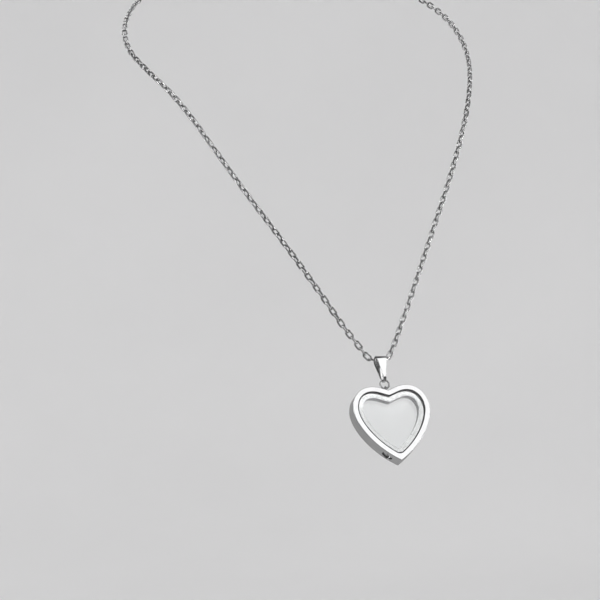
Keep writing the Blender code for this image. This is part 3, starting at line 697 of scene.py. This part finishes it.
CHEST_ROUTE = (
    (0.0, 0.0, 0.0), (3.2, 1.2, 1.1), (6.4, 2.9, 6.0), (9.6, 5.2, 11.3), (15.0, 8.4, 21.3),
    (20.5, 12.0, 31.3), (26.1, 16.0, 41.3), (31.8, 20.3, 51.3), (37.3, 24.7, 61.3),
)
RIGHT_SHOULDER = (
    (42.6, 29.8, 71.3), (47.5, 35.6, 81.3), (51.4, 42.2, 89.8), (54.4, 49.8, 97.6),
    (55.8, 58.8, 105.9), (54.8, 68.5, 114.0), (51.0, 78.5, 121.3), (44.6, 88.3, 127.9),
    (35.6, 97.0, 132.9), (24.8, 103.6, 136.1), (13.0, 107.1, 137.4), (7.0, 107.5, 137.5),
)
LEFT_SHOULDER = (
    (-42.4, 29.8, 71.3), (-47.3, 35.6, 81.3), (-52.0, 42.2, 90.0), (-57.2, 49.6, 97.8),
    (-60.4, 58.4, 105.0), (-59.6, 68.4, 112.2), (-55.6, 78.6, 119.4), (-48.8, 88.2, 125.8),
    (-39.2, 97.0, 131.2), (-27.4, 103.6, 135.2), (-13.6, 107.1, 137.3), (-7.0, 107.5, 137.5),
)
SPAN_STEPS = 24
CLASP_RING_RADIUS = (CLASP_RING_OUTER - CLASP_RING_WIRE) / 2
CLASP_RING_PLACE = TAIL_CENTRE - CLASP_RING_RADIUS
END_RING_RADIUS = (END_RING_OUTER - END_RING_WIRE) / 2
END_RING_PLACE = HOOK_CENTRE + HOOK_INNER - 0.60 * MM + END_RING_RADIUS
LINK_REACH = (LINK_LENGTH - LINK_WIRE) / 2
LEFT_END = CLASP_RING_PLACE - CLASP_RING_RADIUS + (CLASP_RING_WIRE + LINK_WIRE) / 2 + CLEARANCE - LINK_REACH
RIGHT_END = END_RING_PLACE + END_RING_RADIUS - (END_RING_WIRE + LINK_WIRE) / 2 - CLEARANCE + LINK_REACH


def smooth_route(side, shoulder):
    """Fine points on one smooth curve from the bail to the nape. side is -1 on the left, 1 on the right."""
    route = [Vector((side * x, y, z)) for x, y, z in CHEST_ROUTE] + [Vector(p) for p in shoulder]
    knots = [0.0]
    for one, two in zip(route, route[1:]):
        knots.append(knots[-1] + (two - one).length)
    slopes = []
    for i in range(len(route)):
        a, b = max(i - 1, 0), min(i + 1, len(route) - 1)
        slopes.append((route[b] - route[a]) / (knots[b] - knots[a]))
    slopes[0], slopes[-1] = Vector((side, 0, 0)), Vector((-side, 0, 0))
    points = []
    for i in range(len(route) - 1):
        span = knots[i + 1] - knots[i]
        for k in range(SPAN_STEPS):
            t = k / SPAN_STEPS
            points.append(
                (2 * t ** 3 - 3 * t * t + 1) * route[i] + (t ** 3 - 2 * t * t + t) * span * slopes[i]
                + (3 * t * t - 2 * t ** 3) * route[i + 1] + (t ** 3 - t * t) * span * slopes[i + 1]
            )
    return [p * MM + BAIL_PLACE for p in points + route[-1:]]


class Strand:
    """One side of the chain: places along it from the bail to the nape, and each link's frame."""

    def __init__(self, side, shoulder, end_x, twist):
        self.twist = twist
        self.points = smooth_route(side, shoulder)
        while abs(self.points[-2].x) < abs(end_x):
            self.points.pop()
        if abs(self.points[-1].x) > abs(end_x):
            self.points.append(Vector((end_x, self.points[-1].y, self.points[-1].z)))
        one, two = self.points[-2], self.points[-1]
        self.points[-1] = one.lerp(two, (end_x - one.x) / (two.x - one.x))
        self.steps = [0.0]
        for one, two in zip(self.points, self.points[1:]):
            self.steps.append(self.steps[-1] + (two - one).length)
        self.length = self.steps[-1]
        self.count = round(self.length / LINK_PITCH)
        self.pitch = self.length / self.count

    def at(self, s):
        """The place at arc length s. Before the bail the curve goes on as its own mirror image."""
        if s < 0:
            mirrored = self.at(-s)
            return Vector((-mirrored.x, mirrored.y, mirrored.z))
        k = 0
        while k < len(self.steps) - 2 and self.steps[k + 1] < s:
            k += 1
        share = (s - self.steps[k]) / (self.steps[k + 1] - self.steps[k])
        return self.points[k].lerp(self.points[k + 1], share)

    def links(self):
        """Matrices of every link, each a quarter turn from the last, with a slow twist besides."""
        side = Vector((0, -1, 0))
        placed = []
        for i in range(self.count + 1):
            start, end = (self.at((i + h) * self.pitch) for h in (-0.5, 0.5))
            along = (end - start).normalized()
            side = (side - along * side.dot(along)).normalized()
            placed.append(((start + end) / 2, along, side))
        middle, along, side = placed[-1]
        last = math.atan2(along.dot(side.cross(Y)), side.dot(Y)) - self.count * math.pi / 2
        spare = (last + math.pi / 2) % math.pi - math.pi / 2
        matrices = []
        for i, (middle, along, side) in enumerate(placed):
            normal = side.copy()
            lead = min(i / LEAD_IN_LINKS, 1.0)
            rest = max(i - LEAD_IN_LINKS, 0) / (self.count - LEAD_IN_LINKS)
            angle = i * math.pi / 2 + self.twist * lead + (spare - self.twist) * rest
            normal.rotate(Matrix.Rotation(angle, 3, along))
            turn = Matrix((along, normal.cross(along), normal)).transposed().to_4x4()
            matrices.append(Matrix.Translation(middle) @ turn)
        return matrices


LINK_STATIONS, LINK_SIDES = 32, 12
# How near a link end the painted contact shade begins.
RUB_START = 0.72


def link_rings():
    """Stations round a link: centre, outward direction, and how near a rounded end it is, up to 1."""
    end = (LINK_WIDTH - LINK_WIRE) / 2
    straight = (LINK_LENGTH - LINK_WIDTH) / 2
    around = math.tau * end + 4 * straight
    stations = []
    for k in range(LINK_STATIONS):
        s = around * k / LINK_STATIONS
        if s < 2 * straight:
            point, side = Vector((straight - s, end, 0)), Y
        elif s < 2 * straight + math.pi * end:
            a = math.pi / 2 + (s - 2 * straight) / end
            side = Vector((math.cos(a), math.sin(a), 0))
            point = Vector((-straight, 0, 0)) + side * end
        elif s < 4 * straight + math.pi * end:
            point, side = Vector((-straight + s - 2 * straight - math.pi * end, -end, 0)), -Y
        else:
            a = -math.pi / 2 + (s - 4 * straight - math.pi * end) / end
            side = Vector((math.cos(a), math.sin(a), 0))
            point = Vector((straight, 0, 0)) + side * end
        stations.append((point, side, abs(point.x) / (straight + end)))
    return stations


def make_strand(name, strand, first, nodes, look, seed):
    """All the links of one side as one mesh. Their tone_and_shade runs from 0, painted shade inside where the
    links touch, to 1 outside, times a random brightness for each link.
    """
    chance = random.Random(seed)
    stations = link_rings()
    points, faces, tones_and_shade = [], [], []
    for index, matrix in enumerate(strand.links()):
        if index < first:
            continue
        base = len(points)
        shade = chance.uniform(0.82, 1.0)
        weld = chance.uniform(0.02, 0.10)
        lean = Matrix.Rotation(math.radians(chance.uniform(-4, 4)) if index > 1 else 0, 4, "X")
        placed = matrix @ lean
        for k, (centre, side, end) in enumerate(stations):
            swell = 1 + weld * math.exp(-((k - LINK_STATIONS * 0.06) / 1.1) ** 2)
            for j in range(LINK_SIDES):
                a = math.tau * j / LINK_SIDES
                reach = LINK_WIRE / 2 * swell
                points.append(placed @ (centre + reach * (math.cos(a) * side + math.sin(a) * Z)))
                # Painted shade: darker on the inside of the wire's loop, darker still near the ends where
                # links touch; shade is each link's own random brightness.
                inner = max(0.0, -math.cos(a))
                rub_and_shade = max(0.0, (end - RUB_START) / (1 - RUB_START)) * inner
                tones_and_shade.append(shade * (1 - 0.9 * rub_and_shade) * (1 - 0.75 * min(1.0, 1.6 * inner)))
        for k in range(LINK_STATIONS):
            after = (k + 1) % LINK_STATIONS
            for j in range(LINK_SIDES):
                side_after = (j + 1) % LINK_SIDES
                faces.append((
                    base + k * LINK_SIDES + j, base + after * LINK_SIDES + j,
                    base + after * LINK_SIDES + side_after, base + k * LINK_SIDES + side_after,
                ))
    data = bpy.data.meshes.new(name)
    data.from_pydata(points, [], faces)
    tone_and_shade = data.attributes.new("tone_and_shade", "FLOAT", "POINT")
    tone_and_shade.data.foreach_set("value", tones_and_shade)
    data.shade_smooth()
    data.materials.append(look)
    made = bpy.data.objects.new(name, data)
    bpy.context.scene.collection.objects.link(made)
    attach(made, "chain")
    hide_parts(*nodes)
    steps = round(strand.length / (1.0 * MM))
    path = [strand.at(strand.length * k / steps) for k in range(steps + 1)]
    return made


# ---------------------------------------------------------------- clasp


def teardrop(big_centre, big, small_centre, small, count=40):
    """The outline of two circles on the X axis and their common tangents."""
    lean = math.asin((big - small) / (big_centre - small_centre))
    outline = []
    for centre, radius, start, sweep in (
        (big_centre, big, math.pi / 2 + lean, math.pi + 2 * lean),
        (small_centre, small, -math.pi / 2 - lean, math.pi - 2 * lean),
    ):
        for k in range(count + 1):
            a = start - sweep * k / count
            outline.append(Vector((centre + radius * math.cos(a), radius * math.sin(a))))
    return outline


def cylinder(radius, length, sides=48):
    loops = [[p + Y * s * length / 2 for p in circle(radius, sides, "Y")] for s in (-1, 1)]
    return lofted(loops, False)


def rounded(body, width, segments=4):
    edge = body.modifiers.new("rounded edges", "BEVEL")
    edge.width, edge.segments = width, segments
    edge.limit_method, edge.angle_limit = "ANGLE", math.radians(50)


def make_clasp_body(look):
    mesh = extruded(teardrop(HOOK_CENTRE, HOOK_OUTER, TAIL_CENTRE, TAIL_OUTER), CLASP_THICKNESS)
    body = piece("clasp_body_fine", mesh, (look,), "chain")
    rounded(body, CLASP_BEVEL)
    through = 2 * CLASP_THICKNESS
    here = Matrix.Identity(4)
    claw = extruded(teardrop(HOOK_CENTRE, HOOK_INNER, CLAW_START + 0.9 * MM, 0.9 * MM), through)
    gate = [Vector(p) * MM for p in ((-0.35, 0.55), (-0.35, 4.0), (3.05, 4.0), (2.35, 0.9))]
    slot = [Vector(p) * MM for p in ((-3.0, -0.35), (-3.0, 4.0), (0.4, 4.0), (0.4, -0.35))]
    cut(
        body, tool(claw, here), tool(extruded(gate, through), here),
        tool(extruded(slot, LEVER_THICKNESS + 0.12 * MM), here),
        tool(cylinder(TAIL_HOLE, through), Matrix.Translation((TAIL_CENTRE, 0, 0))),
        tool(cylinder(RIVET_RADIUS + CLEARANCE, through), Matrix.Translation((PIVOT_X, 0, PIVOT_Z))),
    )
    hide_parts("clasp_body")
    return body


def make_clasp_lever(look):
    corners = [
        (-0.62, -0.62, 0.45), (1.3, -0.42, 0.3), (3.9, 0.10, 0.12), (4.45, 1.02, 0.25),
        (2.4, 1.36, 0.6), (0.95, 1.30, 0.4), (0.55, 2.35, 0.28), (-0.35, 2.35, 0.28), (-0.62, 0.9, 0.3),
    ]
    outline = rounded_polygon([(x * MM, z * MM, r * MM) for x, z, r in corners], 10)
    lever = piece("clasp_lever_fine", extruded(outline, LEVER_THICKNESS), (look,), "clasp_lever",
                  place=Matrix.Translation(LEVER_PLACE))
    rounded(lever, 0.10 * MM, 3)
    hole = tool(cylinder(RIVET_RADIUS + CLEARANCE, 2 * CLASP_THICKNESS), Matrix.Translation(LEVER_PLACE))
    cut(lever, hole)
    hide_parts("clasp_lever")
    return lever


def make_clasp_rivet(look):
    mesh = cylinder(RIVET_RADIUS, CLASP_THICKNESS - 2 * CLEARANCE)
    rivet = piece("clasp_rivet_fine", mesh, (look,), "chain",
                  place=Matrix.Translation(LEVER_PLACE))
    rounded(rivet, 0.10 * MM, 4)
    cut(rivet)
    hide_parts("clasp_rivet")
    return rivet


def make_clasp_spring(look):
    corners = ((-2.80, 1.30), (-2.80, 0.55), (-2.70, 0.15), (-2.40, -0.10), (-1.9, -0.17), (-1.1, -0.17))
    rough_path = [Vector((x, 0, z)) * MM for x, z in corners]
    path = resampled(rough_path, 40)
    for _ in range(6):
        path[1:-1] = [(a + b * 2 + c) / 4 for a, b, c in zip(path, path[1:], path[2:])]
    spring = piece("clasp_spring_fine", swept_wire(path, SPRING_WIRE, 14, Y, False), (look,), "chain")
    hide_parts("clasp_spring")
    return spring


# ---------------------------------------------------------------- studio

FLOOR_DROP = 0.28
BOWL_RADIUS, BOWL_HEIGHT, BOWL_BEND, BOWL_SIDES = 2.8, 2.4, 1.0, 96

# What polished metal mirrors, as (height, brightness) stops: on the camera's side and on the far side.
NEAR_GLOW = ((-1, 0.34), (-0.60, 0.20), (-0.30, 0.08), (0.98, 0.05))
FAR_GLOW = (
    (-1, 0.44), (-0.62, 0.38), (-0.40, 0.36), (0.15, 0.36), (0.40, 0.95), (0.84, 0.95), (0.93, 0.02),
)
NEAR_TO_FAR = ((-0.1, 0.0), (0.35, 1.0))
OPEN_GLOW = (1.02, 1.015, 1.01)


def make_stage():
    """A pale floor that curves up into a wall all round."""
    finish = Finish("pale_paper", 0.0, 0.9, (0.76, 0.76, 0.765))
    fibre = finish.noise(3.0, 5.0)
    finish.tint(finish.ramp(fibre, 0.0, 1.0), (0.77, 0.77, 0.775), (0.745, 0.745, 0.75))
    floor = cad_low.z - FLOOR_DROP
    profile = [(0.01, 0.0), (BOWL_RADIUS - BOWL_BEND, 0.0)]
    for k in range(1, 17):
        a = math.pi / 2 * k / 16
        profile.append((BOWL_RADIUS - BOWL_BEND * (1 - math.sin(a)), BOWL_BEND * (1 - math.cos(a))))
    profile.append((BOWL_RADIUS, BOWL_HEIGHT))
    mesh = bmesh.new()
    rows = [[mesh.verts.new((p.x, p.y, floor + z)) for p in circle(r, BOWL_SIDES, "Z")] for r, z in profile]
    mesh.faces.new(rows[0])
    for one, two in zip(rows, rows[1:]):
        for i in range(BOWL_SIDES):
            j = (i + 1) % BOWL_SIDES
            mesh.faces.new((one[i], one[j], two[j], two[i]))
    stage = piece("stage", mesh, (finish.made,), None)
    stage.visible_glossy = False


def soft_box(name, direction, distance, size, power, target):
    data = bpy.data.lights.new(name, "AREA")
    data.shape = "RECTANGLE"
    data.size, data.size_y = size
    data.energy = power
    light = bpy.data.objects.new(name, data)
    bpy.context.scene.collection.objects.link(light)
    away = Vector(direction).normalized()
    light.location = target + away * distance
    light.rotation_euler = away.to_track_quat("Z", "Y").to_euler()
    light.visible_camera = False


def make_world():
    """An evenly lit studio. Polished metal mirrors a dim near side and a far side that is pale above."""
    world = bpy.data.worlds.new("studio")
    bpy.context.scene.world = world
    world.use_nodes = True
    nodes, links = world.node_tree.nodes, world.node_tree.links
    background = nodes["Background"]
    place = nodes.new("ShaderNodeTexCoord")
    split = nodes.new("ShaderNodeSeparateXYZ")
    links.new(place.outputs["Generated"], split.inputs["Vector"])

    def ramp(source, stops):
        node = nodes.new("ShaderNodeValToRGB")
        node.color_ramp.interpolation = "EASE"
        shift = nodes.new("ShaderNodeMapRange")
        shift.inputs["From Min"].default_value = -1
        links.new(source, shift.inputs["Value"])
        links.new(shift.outputs["Result"], node.inputs["Fac"])
        while len(node.color_ramp.elements) < len(stops):
            node.color_ramp.elements.new(0.5)
        for element, (at, value) in zip(node.color_ramp.elements, stops):
            element.position = (at + 1) / 2
            element.color = (value, value, value, 1)
        return node.outputs["Color"]

    near = ramp(split.outputs["Z"], NEAR_GLOW)
    far = ramp(split.outputs["Z"], FAR_GLOW)
    facing = ramp(split.outputs["Y"], NEAR_TO_FAR)
    mixed = nodes.new("ShaderNodeMix")
    mixed.data_type = "RGBA"
    links.new(facing, mixed.inputs["Factor"])
    links.new(near, mixed.inputs["A"])
    links.new(far, mixed.inputs["B"])
    path = nodes.new("ShaderNodeLightPath")
    seen = nodes.new("ShaderNodeMix")
    seen.data_type = "RGBA"
    links.new(path.outputs["Is Glossy Ray"], seen.inputs["Factor"])
    seen.inputs["A"].default_value = (*OPEN_GLOW, 1)
    links.new(mixed.outputs["Result"], seen.inputs["B"])
    links.new(seen.outputs["Result"], background.inputs["Color"])
    background.inputs["Strength"].default_value = 1.0


def main():
    make_camera()

    rim_steel = polished_steel("rim_steel", (0.72, 0.72, 0.725), (0.67, 0.67, 0.675), (0.07, 0.13))
    bail_steel = polished_steel("bail_steel", (0.74, 0.74, 0.745), (0.68, 0.68, 0.685), (0.05, 0.11),
                                hand=(8, 1, 1))
    # Jump ring and eye: the frame's steel painted darker, as shade.
    shaded_wire_steel = polished_steel("shaded_wire_steel", (0.52, 0.52, 0.525), (0.38, 0.38, 0.385), (0.05, 0.12))
    clasp_steel = polished_steel("clasp_steel", (0.70, 0.70, 0.71), (0.62, 0.62, 0.63), (0.09, 0.18))
    # Screw head: steel painted brighter than the frame's, as light in its dark recess.
    lit_screw_steel = satin_steel("lit_screw_steel", (0.86, 0.86, 0.865), (0.74, 0.74, 0.745), (0.24, 0.38))
    # Ledge under the glass: the frame's steel painted darker than the rim, as shade in the recess.
    shaded_seat_steel = polished_steel("shaded_seat_steel", (0.61, 0.61, 0.615), (0.56, 0.56, 0.565), (0.10, 0.16), 0.05)
    # Window's inner wall: the frame's steel painted near-black, as the shade inside the cavity.
    shaded_wall_steel = satin_steel("shaded_wall_steel", (0.20, 0.20, 0.205), (0.15, 0.15, 0.155), (0.20, 0.32))
    # Seat step and groove: the frame's steel painted dark, as the shade of the seam round the pane.
    shaded_groove_steel = satin_steel("shaded_groove_steel", (0.20, 0.20, 0.205), (0.13, 0.13, 0.135), (0.35, 0.5))
    spring_steel = satin_steel("spring_steel", (0.48, 0.48, 0.50), (0.38, 0.38, 0.40), (0.25, 0.4))
    chain_steel = link_steel("chain_steel")
    glass = window_glass("window_glass")
    # Pane edge finish: painted near-black as the seam's shade.
    ground = shaded_pane_edge("shaded_pane_edge")
    adhesive = clear_adhesive("clear_adhesive")
    rubber = black_rubber("black_rubber")

    nape = Matrix.Identity(4)
    body = make_clasp_body(clasp_steel)
    lever = make_clasp_lever(clasp_steel)
    rivet = make_clasp_rivet(clasp_steel)
    spring = make_clasp_spring(spring_steel)
    tail_ring = split_ring("clasp_ring_fine", "clasp_ring", CLASP_RING_OUTER, CLASP_RING_WIRE, "Z",
                           Vector((CLASP_RING_PLACE, 0, 0)), math.pi * 0.75, clasp_steel, "chain",
                           nape)
    end_ring = split_ring("end_ring_fine", "end_ring", END_RING_OUTER, END_RING_WIRE, "Z",
                          Vector((END_RING_PLACE, 0, 0)), math.pi * 0.3, clasp_steel, "chain",
                          nape)

    names = frame["nodes"].keys()
    left_nodes = [n for n in names if n.startswith("link_left") or n == "chain_left"]
    right_nodes = [n for n in names if n.startswith("link_right") or n in ("chain_right", "link_centre")]
    make_strand("left_links", Strand(-1, LEFT_SHOULDER, LEFT_END, LEFT_TWIST), 1, left_nodes,
                chain_steel, 11)
    make_strand("right_links", Strand(1, RIGHT_SHOULDER, RIGHT_END, RIGHT_TWIST), 0, right_nodes,
                chain_steel, 12)

    make_heart_frame((rim_steel, shaded_seat_steel, shaded_groove_steel, shaded_wall_steel))
    for word, side in (("front", -1), ("back", 1)):
        make_pane(word + "_pane_fine", word + "_pane", side, (glass, ground))
        make_seal(word + "_seal_fine", word + "_seal", side, adhesive)
    make_port_screw(lit_screw_steel)
    make_port_washer(rubber)
    make_bail(bail_steel)
    split_ring("jump_ring_fine", "jump_ring", RING_OUTER, RING_WIRE, "Y", Vector((0, 0, RING_CENTRE)),
               math.pi * 0.42, shaded_wire_steel, "jump_ring", LOCKET)
    make_eye(shaded_wire_steel)

    make_stage()
    make_world()
    heart = LOCKET @ Vector((0, 0, HEART_TOP - HEART_HEIGHT / 2))
    soft_box("key", (0.29, -0.70, 0.65), 1.25, (1.0, 0.70), 3.0, heart)
    soft_box("left strip", (-0.80, -0.35, 0.45), 1.3, (0.12, 1.3), 5.5, heart)
    soft_box("right strip", (0.95, -0.20, 0.10), 1.3, (0.10, 1.3), 5.0, heart)


main()
